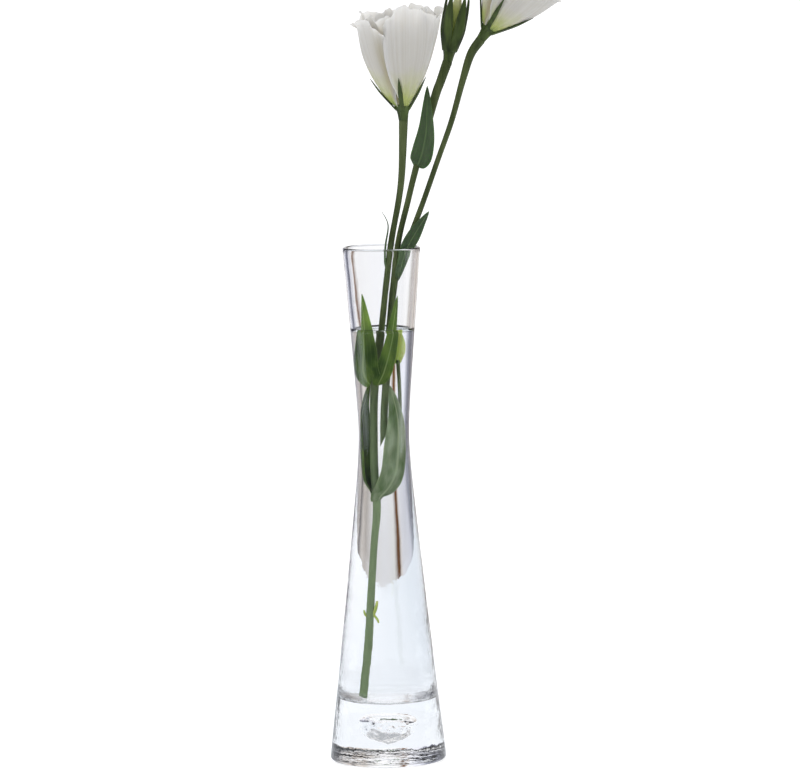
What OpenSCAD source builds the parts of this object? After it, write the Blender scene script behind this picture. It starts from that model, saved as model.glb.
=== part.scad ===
// Glass bud vase with a trapped bubble in its solid foot, holding two cut
// lisianthus sprays. Millimetres, +Z up, origin at the centre of the foot's
// underside. X runs across the vase and Y runs away from its front.

/* [Vase] */
// Height of the vase
vase_h = 280; // [270:1:290]
// Outer radius at the waist
waist_r = 13.7; // [13.7:0.1:15]
// Height of the waist above the table
waist_z = 178; // [174:1:182]
// Flare of the body below the waist, radius gained per unit of height
lower_flare = 0.104; // [0.100:0.001:0.110]
// Flare of the body above the waist, radius gained per unit of height
upper_flare = 0.082; // [0.080:0.001:0.090]
// Wall thickness at the lip
lip_t = 2.2; // [1.8:0.1:2.4]
// How much thicker the wall is at the foot than at the lip
wall_gain = 1.6; // [1:0.1:1.8]
// Extra radius that the foot spreads to, beyond the straight flare
foot_spread = 1; // [0.5:0.1:1.2]
// Thickness of the solid glass under the water space
floor_z = 33; // [30:0.5:33]
// Radius of the corner between the inner floor and the wall
floor_corner_r = 5; // [3:0.5:6]
// Radius of the foot's polished outer edge
foot_edge_r = 2; // [1:0.5:3]

/* [Bubble] */
// Greatest radius of the trapped air bubble
bubble_r = 10.4; // [8:0.1:12]
// Height of the bubble's pointed lower end
bubble_tip_z = 8.3; // [6:0.1:10]
// Height of the bubble's widest ring
bubble_wide_z = 20.4; // [18:0.1:22]
// Height of the middle of the bubble's domed top
bubble_top_z = 24.8; // [23:0.1:27]

/* [Stems] */
// Thickness of every stem and stalk, as a share of its drawn thickness
stem_scale = 1; // [0.8:0.05:1.05]

/* [Leaves] */
// Thickness of a leaf blade
leaf_t = 0.6; // [0.5:0.05:0.8]
// Thickness of a sepal
sepal_t = 0.5; // [0.4:0.05:0.6]

/* [Blooms] */
// Height of the left bloom's cup of petals
left_bloom_h = 52; // [48:1:54]
// Radius of the left bloom's cup at its mouth
left_bloom_r = 23; // [21:0.5:23.5]
// Height of the right bloom's cup of petals
right_bloom_h = 40; // [38:1:44]
// Radius of the right bloom's cup at its mouth
right_bloom_r = 23; // [19:0.5:24]
// Thickness of the cup of overlapping petals
petal_wall = 4; // [3:0.5:5]
// Length of the closed bud
bud_len = 34; // [30:1:36]
// Radius of the closed bud
bud_r = 4.2; // [3.8:0.1:4.4]

/* [Hidden] */

$fn = 96;

// Softness of the hollow curve below and above the waist
lower_soft = 1.5;
upper_soft = 1.0;
// Height of one straight step of the wall's curve
wall_step = 8;
// Steps of each rounded edge
edge_steps = 5;
// Steps of the bubble's lower and upper curves
bubble_low_steps = 10;
bubble_top_steps = 6;

// Straight pieces between two points of a stem or leaf curve
curve_steps = 3;
// Sides of a stem
stem_sides = 8;
// Strips across a leaf, on each side of its midrib
leaf_strips = 3;
// Half width of a leaf at its base and tip
leaf_end_w = 0.45;

// Routes of the stems, from the cut end upwards: x, y, z and radius
long_route = [
    [-11.4, -9.5, 35, 1.9], [-8.4, -8, 65, 1.85], [-6.9, -6.8, 90, 1.75],
    [-5, -5.6, 120, 1.65], [-3.6, -4.4, 138, 1.8], [-4.5, -3.2, 164, 1.75],
    [-3.8, -1.8, 203, 1.7], [-0.9, -0.8, 232, 1.65], [2.7, -1, 262.6, 1.6],
    [5.7, -1.6, 284.3, 1.6], [9.7, -3, 305, 1.6], [11.7, -4.6, 321, 1.8],
    [12.9, -6.8, 348.7, 2.4],
];
short_route = [
    [0, -5.2, 176, 1.65], [0.6, -2.8, 197, 1.65], [3.3, 1.6, 232.7, 1.65],
    [7, 4.2, 262.3, 2], [9.4, 6.4, 282.6, 1.6], [14.8, 9.4, 304, 1.6],
    [19.1, 11.8, 320.6, 1.7], [29.6, 15.6, 357.7, 2.3], [33.5, 16.8, 368.5, 2.5],
    [37.3, 18, 378.8, 2.7],
];
bloom_stalk_route = [
    [8.9, 4, 264, 1.3], [11.2, 4.4, 271.9, 1.4], [15.2, 5.4, 283.6, 1.45],
    [23.2, 7.6, 304, 1.45], [31.1, 9.4, 325.6, 1.45], [39, 11, 347, 1.5],
    [45.2, 12, 368.5, 1.8], [49.8, 12.4, 382.6, 2.2], [55.3, 12.6, 390.5, 2.6],
];
side_shoot_route = [
    [-1.6, -3.4, 146, 0.9], [1.5, -2.8, 155, 0.9], [5.6, -1.2, 172, 0.9],
    [6.8, 0.2, 190, 0.85], [6, 0.6, 219, 0.8],
];

// Where each flower sits on its stalk, and how far it leans to the right
left_bloom_base = [12.9, -6.85, 348.8];
left_bloom_lean = -2;
right_bloom_base = [55.4, 12.6, 390.6];
right_bloom_lean = 36;
bud_base = [37.4, 18, 378.9];
bud_lean = 10;

// Height of a calyx cup, and of the petals' foot above the cup's own foot
calyx_h = 8;
petal_foot = 8.2;
// Radius of the calyx cup at its foot and at its rim
calyx_foot_r = 2.5;
calyx_rim_r = 4.4;
// Height of the floor inside a cup of petals, above the petals' own foot
cup_floor = 16;
// Room between the petals and the sepals that lie along them
sepal_gap = 0.6;
calyx_green = [0.22, 0.30, 0.14];
leaf_green = [0.30, 0.42, 0.22];
pale_green = [0.52, 0.62, 0.34];
petal_white = [0.95, 0.94, 0.91];
anther_yellow = [0.86, 0.72, 0.28];

// ---------------------------------------------------------------- the vase

// Radius gained at distance d from the waist: a hyperbola, so that the wall
// is round at the waist and runs out into a straight flare
function flare(d, slope, soft) = sqrt(pow(slope * d, 2) + soft * soft) - soft;

function outer_r(z) = waist_r + (z < waist_z
    ? flare(waist_z - z, lower_flare, lower_soft)
        + foot_spread * pow(1 - z / waist_z, 2)
    : flare(z - waist_z, upper_flare, upper_soft));

function wall_t(z) = lip_t + wall_gain * (1 - z / vase_h);

function inner_r(z) = outer_r(z) - wall_t(z);

// Points of an arc, from angle a0 to angle a1
function arc(centre, r, a0, a1, steps) =
    [for (i = [0:steps]) let (a = a0 + (a1 - a0) * i / steps)
        centre + r * [cos(a), sin(a)]];

// Half outline of the vase, from the middle of the foot round to the floor
function vase_outline() =
    let (foot_r = outer_r(foot_edge_r),
         lip_r = lip_t / 2,
         lip_z = vase_h - lip_r,
         corner_z = floor_z + floor_corner_r,
         corner_x = inner_r(corner_z) - floor_corner_r)
    concat(
        [[0, 0]],
        arc([foot_r - foot_edge_r, foot_edge_r], foot_edge_r, -90, 0, edge_steps),
        [for (z = [wall_step:wall_step:lip_z - 1]) [outer_r(z), z]],
        arc([outer_r(lip_z) - lip_r, lip_z], lip_r, 0, 180, 2 * edge_steps),
        [for (z = [lip_z - wall_step:-wall_step:corner_z + 1]) [inner_r(z), z]],
        arc([corner_x, corner_z], floor_corner_r, 0, -90, edge_steps),
        [[0, floor_z]]);

// Half outline of the bubble: a heart shape with a domed top
function bubble_outline() = concat(
    [for (i = [0:bubble_low_steps])
        let (t = i / bubble_low_steps)
        [bubble_r * (1 - pow(1 - t, 3)),
         bubble_tip_z + (bubble_wide_z - bubble_tip_z) * t]],
    [for (i = [1:bubble_top_steps])
        let (a = 90 * i / bubble_top_steps)
        [i == bubble_top_steps ? 0 : bubble_r * pow(cos(a), 0.6),
         bubble_wide_z + (bubble_top_z - bubble_wide_z) * sin(a)]]);

module vase_glass() {
    color([0.86, 0.90, 0.93, 0.4])
    difference() {
        rotate_extrude() polygon(vase_outline());
        rotate_extrude() polygon(bubble_outline());
    }
}

// ------------------------------------------------- curves, stems and leaves

function unit(v) = v / norm(v);

// A point of the smooth curve between p1 and p2 (Catmull-Rom)
function curve_point(p0, p1, p2, p3, t) =
    0.5 * (2 * p1 + (p2 - p0) * t
        + (2 * p0 - 5 * p1 + 4 * p2 - p3) * t * t
        + (3 * p1 - p0 - 3 * p2 + p3) * t * t * t);

// The smooth curve through all the points given
function curve(points) =
    let (last = len(points) - 1)
    [for (i = [0:last - 1], s = [0:curve_steps - 1])
        curve_point(points[max(i - 1, 0)], points[i], points[i + 1],
            points[min(i + 2, last)], s / curve_steps),
     points[last]];

function along(path, i) =
    unit(path[min(i + 1, len(path) - 1)] - path[max(i - 1, 0)]);

// Triangles that close a skin of rows by columns points, joined end to end
// round each row, with a flat cap over the first and the last row
function skin_faces(rows, columns) = concat(
    [for (i = [0:rows - 2], k = [0:columns - 1])
        let (a = i * columns + k, b = i * columns + (k + 1) % columns)
        each [[a, a + columns, b], [b, a + columns, b + columns]]],
    [[for (k = [0:columns - 1]) k]],
    [[for (k = [columns - 1:-1:0]) (rows - 1) * columns + k]]);

function place(p) = [p[0], p[1], p[2]];

// A round stalk along the points given, each with its own radius
module stalk(points) {
    route = curve(points);
    path = [for (p = route) place(p)];
    last = len(path) - 1;
    skin = [for (i = [0:last])
        let (t = along(path, i),
             u = unit(cross([0, 1, 0], t)),
             v = cross(t, u),
             r = route[i][3] * stem_scale)
        for (k = [0:stem_sides - 1])
            let (a = 360 * k / stem_sides)
            path[i] + r * (cos(a) * u + sin(a) * v)];
    polyhedron(skin, skin_faces(last + 1, stem_sides), convexity = 8);
}

// One row of points across a blade at path[i], at distance r from the axis
// that the blade is rolled round. w is the blade's half width there
function blade_row(path, i, face, w, curl_r, r) =
    let (way = along(path, i),
         side = unit(cross(way, face)),
         up = cross(side, way))
    [for (k = [-leaf_strips:leaf_strips])
        let (a = w * k / leaf_strips / curl_r * 180 / PI)
        path[i] + side * r * sin(a) + up * (curl_r - r * cos(a))];

function reversed(list) = [for (i = [len(list) - 1:-1:0]) list[i]];

// Width of a leaf at s, as a share of its greatest width: it swells from the
// base and runs out to a point
function leaf_share(s, widest, clasp) = s < widest
    ? clasp + (1 - clasp) * sin(90 * s / widest)
    : 1 - pow((s - widest) / (1 - widest), 1.8);

// A leaf blade along the points given. face is the way its upper side looks,
// curl_r the radius that the blade is rolled to, and widest where it is
// broadest, from 0 at the base to 1 at the tip. clasp is the share of its
// greatest width that the blade has at its base
module leaf(points, half_w, curl_r, face, widest = 0.4, clasp = 0, t = leaf_t) {
    path = curve(points);
    last = len(path) - 1;
    rows = [for (i = [0:last])
        let (w = leaf_end_w + half_w * leaf_share(i / last, widest, clasp))
        each concat(
            blade_row(path, i, face, w, curl_r, curl_r - t / 2),
            reversed(blade_row(path, i, face, w, curl_r, curl_r + t / 2)))];
    polyhedron(rows, skin_faces(last + 1, 4 * leaf_strips + 2),
        convexity = 8);
}

// ---------------------------------------------------- parts of the flowers

// Radius of a cup of petals at height h above its foot
function cup_r(h, cup_h, mouth_r) =
    calyx_rim_r - 0.2
    + (mouth_r - calyx_rim_r + 0.2) * pow(sin(90 * h / cup_h), 0.95);

// The overlapping petals as one cup, open at the top
module petal_cup(cup_h, mouth_r) {
    steps = 8;
    inner_steps = 3;
    translate([0, 0, petal_foot])
        rotate_extrude() polygon(concat(
            [[0, 0]],
            [for (i = [0:steps]) let (h = cup_h * i / steps)
                [cup_r(h, cup_h, mouth_r), h]],
            [for (i = [steps:-1:inner_steps + 1]) let (h = cup_h * i / steps)
                [cup_r(h, cup_h, mouth_r) - petal_wall, h]],
            [[mouth_r / 3, cup_floor], [0, cup_floor]]));
}

// The green cup under a flower
module calyx_cup() {
    rotate_extrude() polygon([
        [0, 0], [calyx_foot_r, 0], [calyx_foot_r + 0.5, calyx_h / 2],
        [calyx_rim_r, calyx_h], [0, calyx_h]]);
}

// A calyx cup with five narrow sepals that lie along the petals
module calyx(cup_h, mouth_r, sepal_len, sepal_w) {
    calyx_cup();
    for (a = [0:72:288]) rotate([0, 0, a + 20])
        leaf(concat([[calyx_rim_r - 1, 0, calyx_h - 2.5]],
                [for (i = [1:3]) let (h = sepal_len * i / 3)
                    [cup_r(h, cup_h, mouth_r) + sepal_gap, 0,
                     petal_foot + h]]),
            sepal_w, 8, [-1, 0, 0.2], 0.3, 0, sepal_t);
}

// Ovary, style and two-lobed stigma in the middle of a bloom
module pistil() {
    rotate_extrude() polygon([
        [0, 0], [2.2, 0], [3, 3], [2.7, 7], [1, 10], [0.9, 14], [0, 14]]);
    for (s = [-1, 1]) translate([1.2 * s, 0, 14.6]) scale([1.3, 1.7, 0.9])
        sphere(r = 1.4, $fn = 24);
}

// Five filaments with an anther at each top, round the pistil
module stamens() {
    for (a = [36:72:324]) rotate([0, 0, a]) translate([4, 0, 0.1])
        rotate([0, 9, 0]) {
            cylinder(h = 11, r = 0.4, $fn = 16);
            translate([0, 0, 11.6]) scale([1, 0.8, 2.1])
                sphere(r = 1, $fn = 20);
        }
}

module on_left_bloom() {
    translate(left_bloom_base) rotate([0, left_bloom_lean, 0]) children();
}

module on_right_bloom() {
    translate(right_bloom_base) rotate([0, right_bloom_lean, 0]) children();
}

module on_bud() {
    translate(bud_base) rotate([0, bud_lean, 0]) children();
}

// ------------------------------------------------------------ the long spray

module long_stem() {
    color(leaf_green) stalk(long_route);
}

// Pale stubs left where side shoots were trimmed off, round one node
module stem_stubs() {
    color(pale_green) {
        stalk([[-5.4, -7.6, 82, 0.8], [-4.6, -8, 85, 0.8], [-4.1, -8.1, 88, 0.6]]);
        stalk([[-5.4, -7.8, 80, 0.6], [-4.2, -8.2, 78, 0.6], [-3.6, -8.4, 76, 0.5]]);
        stalk([[-9.2, -7, 80, 0.6], [-9.8, -7.2, 81, 0.6], [-10.3, -7.4, 83, 0.5]]);
    }
}

module lower_leaf_left() {
    color(leaf_green)
        leaf([[-5.4, -2, 147], [-8, 0.4, 152.5], [-8.8, 2.3, 160],
            [-8.5, 3.9, 177], [-7.5, 4.7, 192], [-4.7, 5.3, 206]],
            7.1, 9.6, [0.85, -0.5, 0], 0.5, 0.4);
}

module lower_leaf_right() {
    color(leaf_green)
        leaf([[-2, -6.1, 145], [1.8, -7.8, 150], [5.2, -7.6, 158],
            [6.6, -7.1, 171], [6.5, -7.2, 188], [3, -8.6, 206]],
            7.2, 9.6, [-0.68, 0.73, 0], 0.5, 0.4);
}

module side_shoot() {
    color(calyx_green) stalk(side_shoot_route);
}

module side_shoot_leaf() {
    color(pale_green)
        leaf([[6, 0.6, 219.4], [7, -1, 224.5], [7.3, -1.8, 231], [5.9, -1.6, 238]],
            2.5, 5, [-0.3, 1, 0]);
}

module upper_leaf_left() {
    color(leaf_green)
        leaf([[-6.7, -1.7, 208], [-9, -4.8, 214.5], [-9, -8.2, 225],
            [-9.2, -8, 238], [-10.8, -4.6, 255]],
            8, 12, [0.72, 0.69, 0], 0.4, 0.05);
}

module upper_leaf_right() {
    color(leaf_green)
        leaf([[-1.8, -4.6, 207.5], [0.6, -7.2, 214], [3.6, -8.4, 226],
            [6, -6.8, 240], [8.2, -5, 254]], 3.8, 9, [-0.3, 1, 0], 0.4, 0.1);
}

module rim_bract() {
    color(leaf_green)
        leaf([[1.7, -1.4, 272], [2.2, -2, 281], [3.8, -2.6, 292],
            [0.4, -3.4, 299.5]], 0.9, 2.4, [1, 0.4, 0]);
}

module left_calyx() {
    color(calyx_green) on_left_bloom()
        calyx(left_bloom_h, left_bloom_r, 15, 0.9);
}

module left_petals() {
    color(petal_white) on_left_bloom() petal_cup(left_bloom_h, left_bloom_r);
}

module left_pistil() {
    color(pale_green) on_left_bloom()
        translate([0, 0, petal_foot + cup_floor]) pistil();
}

module left_stamens() {
    color(anther_yellow) on_left_bloom()
        translate([0, 0, petal_foot + cup_floor + 0.5]) stamens();
}

// ----------------------------------------------------------- the short spray

module short_stem() {
    color(leaf_green) stalk(short_route);
}

module bloom_stalk() {
    color(leaf_green) stalk(bloom_stalk_route);
}

module rim_leaf() {
    color(leaf_green)
        leaf([[9.4, 1.9, 265], [12, 1.9, 273], [14.2, 2, 279.5],
            [17.6, 2.8, 285.5], [21.4, 3.8, 291.5], [26.2, 4.6, 298.5]],
            3.4, 9, [-0.2, 1, 0.1], 0.62, 0.1);
}

module bud_stalk_leaf() {
    color(leaf_green)
        leaf([[21.1, 9.6, 325], [23.3, 8.4, 332], [25.3, 8.2, 344],
            [26.1, 9.2, 366.3]], 6, 14, [0.1, 1, 0.1], 0.4, 0.25);
}

module bud_calyx() {
    color(calyx_green) on_bud() {
        calyx_cup();
        for (a = [0:72:288]) rotate([0, 0, a + 18])
            leaf([[calyx_rim_r - 1, 0, calyx_h - 2.5], [5.6, 0, 14],
                [6, 0, 24], [5.2, 0, 34]], 3, 6, [-1, 0, 0.1], 0.3, 0.3, sepal_t);
    }
}

module bud_petals() {
    steps = 9;
    color(petal_white) on_bud() translate([0, 0, petal_foot])
        rotate_extrude() polygon(concat(
            [[0, 0]],
            [for (i = [0:steps]) let (t = i / steps)
                [0.4 + 2.4 * (1 - t) + (bud_r - 2) * sin(180 * pow(t, 0.8)),
                 bud_len * t]],
            [[0, bud_len]]));
}

module right_calyx() {
    color(calyx_green) on_right_bloom()
        calyx(right_bloom_h, right_bloom_r, 18, 0.9);
}

module right_petals() {
    color(petal_white) on_right_bloom() petal_cup(right_bloom_h, right_bloom_r);
}

module right_pistil() {
    color(pale_green) on_right_bloom()
        translate([0, 0, petal_foot + cup_floor]) pistil();
}

module right_stamens() {
    color(anther_yellow) on_right_bloom()
        translate([0, 0, petal_foot + cup_floor + 0.5]) stamens();
}

vase_glass();
long_stem();
stem_stubs();
lower_leaf_left();
lower_leaf_right();
side_shoot();
side_shoot_leaf();
upper_leaf_left();
upper_leaf_right();
rim_bract();
left_calyx();
left_petals();
left_pistil();
left_stamens();
short_stem();
bloom_stalk();
rim_leaf();
bud_stalk_leaf();
bud_calyx();
bud_petals();
right_calyx();
right_petals();
right_pistil();
right_stamens();
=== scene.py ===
"""Looks of the glass bud vase: clear glass, water, and two cut lisianthus sprays."""
import math

import bpy
from mathutils import Matrix, Quaternion, Vector, noise


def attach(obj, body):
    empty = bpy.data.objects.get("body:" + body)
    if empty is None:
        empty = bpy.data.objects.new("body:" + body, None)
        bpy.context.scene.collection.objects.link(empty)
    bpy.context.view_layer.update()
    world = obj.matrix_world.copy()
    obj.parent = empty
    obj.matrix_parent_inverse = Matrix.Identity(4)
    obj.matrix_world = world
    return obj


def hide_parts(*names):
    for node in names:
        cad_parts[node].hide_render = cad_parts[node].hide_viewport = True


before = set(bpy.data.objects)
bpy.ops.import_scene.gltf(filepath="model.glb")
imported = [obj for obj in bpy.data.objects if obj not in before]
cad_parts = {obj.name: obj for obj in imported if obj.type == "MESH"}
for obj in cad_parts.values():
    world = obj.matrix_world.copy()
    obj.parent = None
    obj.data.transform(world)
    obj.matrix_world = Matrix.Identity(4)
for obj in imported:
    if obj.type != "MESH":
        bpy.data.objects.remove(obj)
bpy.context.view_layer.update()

MM = 0.001


# ------------------------------------------------------------ sizes, in millimetres

# The vase, as in the design
VASE_H = 280.0
WAIST_R = 13.7
WAIST_Z = 178.0
LOWER_FLARE = 0.104
UPPER_FLARE = 0.082
LOWER_SOFT = 1.5
UPPER_SOFT = 1.0
LIP_T = 2.2
WALL_GAIN = 1.6
FLOOR_Z = 33.0
FLOOR_CORNER_R = 5.0
FOOT_EDGE_R = 2.0
FOOT_SPREAD = 1.0
BUBBLE_R = 10.4
BUBBLE_TIP_Z = 8.3
BUBBLE_WIDE_Z = 20.4
BUBBLE_TOP_Z = 24.8
WATER_Z = 235.0
WATER_INTO_GLASS = 0.15
MENISCUS = 1.2
RING_STEP = 2.5
VASE_SIDES = 192
BUBBLE_SIDES = 96

# The flowers' routes, as in the design: x, y, z and radius
LONG_ROUTE = [
    (-11.4, -9.5, 35, 1.9), (-8.4, -8, 65, 1.85), (-6.9, -6.8, 90, 1.75),
    (-5, -5.6, 120, 1.65), (-3.6, -4.4, 138, 1.8), (-4.5, -3.2, 164, 1.75),
    (-3.8, -1.8, 203, 1.7), (-0.9, -0.8, 232, 1.65), (2.7, -1, 262.6, 1.6),
    (5.7, -1.6, 284.3, 1.6), (9.7, -3, 305, 1.6), (11.7, -4.6, 321, 1.8),
    (12.9, -6.8, 348.7, 2.4),
]
SHORT_ROUTE = [
    (0, -5.2, 176, 1.65), (0.6, -2.8, 197, 1.65), (3.3, 1.6, 232.7, 1.65),
    (7, 4.2, 262.3, 2.0), (9.4, 6.4, 282.6, 1.6), (14.8, 9.4, 304, 1.6),
    (19.1, 11.8, 320.6, 1.7), (29.6, 15.6, 357.7, 2.3), (33.5, 16.8, 368.5, 2.5),
    (37.3, 18, 378.8, 2.7),
]
BLOOM_STALK_ROUTE = [
    (7.2, 4.2, 261, 1.3), (8.9, 4, 264, 1.5), (11.2, 4.4, 271.9, 1.4),
    (15.2, 5.4, 283.6, 1.45), (23.2, 7.6, 304, 1.45), (31.1, 9.4, 325.6, 1.45),
    (39, 11, 347, 1.5), (45.2, 12, 368.5, 1.8), (49.8, 12.4, 382.6, 2.2),
    (55.3, 12.6, 390.5, 2.6),
]
SIDE_SHOOT_ROUTE = [
    (-3.4, -4, 143, 0.9), (-1.6, -3.4, 146, 0.9), (1.5, -2.8, 155, 0.9),
    (5.6, -1.2, 172, 0.9), (6.8, 0.2, 190, 0.85), (6, 0.6, 219, 0.8),
]
STUB_ROUTES = [
    [(-6.6, -7.2, 79.5, 0.9), (-5.4, -7.6, 82, 0.85), (-4.6, -8, 85, 0.8),
     (-4.1, -8.1, 88, 0.55)],
    [(-6.4, -7.2, 82, 0.7), (-5.4, -7.8, 80, 0.6), (-4.2, -8.2, 78, 0.6),
     (-3.6, -8.4, 76, 0.35)],
    [(-8, -7.2, 79, 0.8), (-9.2, -7, 80, 0.7), (-9.8, -7.2, 81, 0.6),
     (-10.3, -7.4, 83, 0.35)],
]

# Leaves: spine from inside the stem to the tip, half width, roll radius, the way
# the upper side looks, where the blade is widest, and its share of width at the base
LEAVES = {
    "lower_leaf_left": dict(
        spine=[(-4.6, -3.2, 144), (-5.4, -2, 147), (-8, 0.4, 152.5), (-8.8, 2.3, 160),
               (-8.5, 3.9, 177), (-7.5, 4.7, 192), (-4.7, 5.3, 206)],
        half_w=7.4, roll=9.6, face=(0.85, -0.5, 0), widest=0.52, clasp=0.5),
    "lower_leaf_right": dict(
        spine=[(-2.9, -4.8, 142.5), (-2, -6.1, 145), (1.8, -7.8, 150), (5.2, -7.6, 158),
               (6.6, -7.1, 171), (6.5, -7.2, 188), (3, -8.6, 206)],
        half_w=7.5, roll=9.6, face=(-0.68, 0.73, 0), widest=0.6, clasp=0.5),
    "upper_leaf_left": dict(
        spine=[(-5, -1.7, 206), (-6.7, -1.7, 208), (-9, -4.8, 214.5), (-9, -8.4, 225),
               (-9.2, -8, 238), (-10.8, -4.6, 255)],
        half_w=8.0, roll=12.0, face=(0.72, 0.69, 0), widest=0.4, clasp=0.1),
    "upper_leaf_right": dict(
        spine=[(-2.6, -3, 205.5), (-1.8, -4.6, 207.5), (0.6, -7.2, 214), (3.6, -8.4, 226),
               (6, -6.8, 240), (8.2, -5, 254)],
        half_w=3.8, roll=9.0, face=(-0.3, 1, 0), widest=0.4, clasp=0.15),
    "side_shoot_leaf": dict(
        spine=[(6.1, 0.6, 217), (6, 0.6, 219.4), (7, -1, 224.5), (7.3, -1.8, 231),
               (5.9, -1.6, 238)],
        half_w=2.5, roll=5.0, face=(-0.3, 1, 0), widest=0.4, clasp=0.1),
    "rim_bract": dict(
        spine=[(2.9, -1.2, 267), (1.7, -1.4, 272), (2.2, -2, 281), (3.8, -2.6, 292),
               (0.4, -3.4, 299.5)],
        half_w=1.0, roll=2.4, face=(1, 0.4, 0), widest=0.4, clasp=0.4),
    "rim_leaf": dict(
        spine=[(8.9, 3, 262), (9.4, 1.9, 265), (12, 1.9, 273), (14.2, 2, 279.5),
               (17.6, 2.8, 285.5), (21.4, 3.8, 291.5), (26.2, 4.6, 298.5)],
        half_w=3.6, roll=9.0, face=(-0.2, 1, 0.1), widest=0.62, clasp=0.12),
    "bud_stalk_leaf": dict(
        spine=[(20, 11.2, 322.5), (21.1, 9.6, 325), (23.3, 8.4, 332), (25.3, 8.2, 344),
               (26.1, 9.2, 366.3)],
        half_w=6.0, roll=14.0, face=(0.1, 1, 0.1), widest=0.4, clasp=0.3),
}

# Flowers: where each sits, how many degrees it leans to the right, and the height, mouth
# and fullness of its cup of petals. The last figure is the angle, in degrees, where the
# front petal's edge shades the petal under it; that shade is painted into the petal's
# colour
LEFT_BLOOM = dict(base=(12.9, -6.85, 348.8), lean=-2, cup_h=52, mouth_r=23,
                  belly=2.8, crease_shade=-121)
RIGHT_BLOOM = dict(base=(55.4, 12.6, 390.6), lean=36, cup_h=40, mouth_r=23,
                   belly=0.0, crease_shade=-130)
BUD = dict(base=(37.4, 18, 378.9), lean=10)
CALYX_H = 8.0
CALYX_FOOT_R = 2.5
CALYX_RIM_R = 4.4
SEPALS = 5
PETAL_FOOT = 8.2
CUP_FLOOR = 16.0
BUD_LEN = 34.0
BUD_R = 4.2
SMALL_LEAF_W = 2.5
LEAF_END_W = 0.3
VEINS = 3.5


# ------------------------------------------------------------------------ helpers

def smooth_curve(points, steps):
    """The smooth curve through the points (Catmull-Rom), for points of any length."""
    last = len(points) - 1
    made = []
    for i in range(last):
        p0, p1 = points[max(i - 1, 0)], points[i]
        p2, p3 = points[i + 1], points[min(i + 2, last)]
        for s in range(steps):
            t = s / steps
            made.append(tuple(
                0.5 * (2 * b + (c - a) * t + (2 * a - 5 * b + 4 * c - d) * t * t
                       + (3 * b - a - 3 * c + d) * t ** 3)
                for a, b, c, d in zip(p0, p1, p2, p3)))
    made.append(tuple(points[last]))
    return made


def along(path, i):
    """The direction of a path at its point i."""
    return (path[min(i + 1, len(path) - 1)] - path[max(i - 1, 0)]).normalized()


def mesh_piece(name, verts, faces, body, attributes=None):
    """A smooth mesh object, given in millimetres, that rides on a body."""
    mesh = bpy.data.meshes.new(name)
    mesh.from_pydata([Vector(v) * MM for v in verts], [], faces)
    mesh.validate()
    for key, values in (attributes or {}).items():
        layer = mesh.attributes.new(key, "FLOAT", "POINT")
        layer.data.foreach_set("value", values)
    mesh.polygons.foreach_set("use_smooth", [True] * len(mesh.polygons))
    piece = bpy.data.objects.new(name, mesh)
    bpy.context.scene.collection.objects.link(piece)
    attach(piece, body)
    return piece


def skin_faces(rows, columns, start=0):
    """Quads over rows of points, each row a closed ring, and one face on each end."""
    faces = []
    for i in range(rows - 1):
        for k in range(columns):
            a, b = start + i * columns + k, start + i * columns + (k + 1) % columns
            faces.append((a, b, b + columns, a + columns))
    faces.append(tuple(start + k for k in range(columns - 1, -1, -1)))
    faces.append(tuple(start + (rows - 1) * columns + k for k in range(columns)))
    return faces


def wobble(seed, x, scale):
    """A smooth random value between about -1 and 1."""
    return noise.noise(Vector((x * scale, seed * 7.31, seed * 1.7)))


# ---------------------------------------------------------------------- materials

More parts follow.
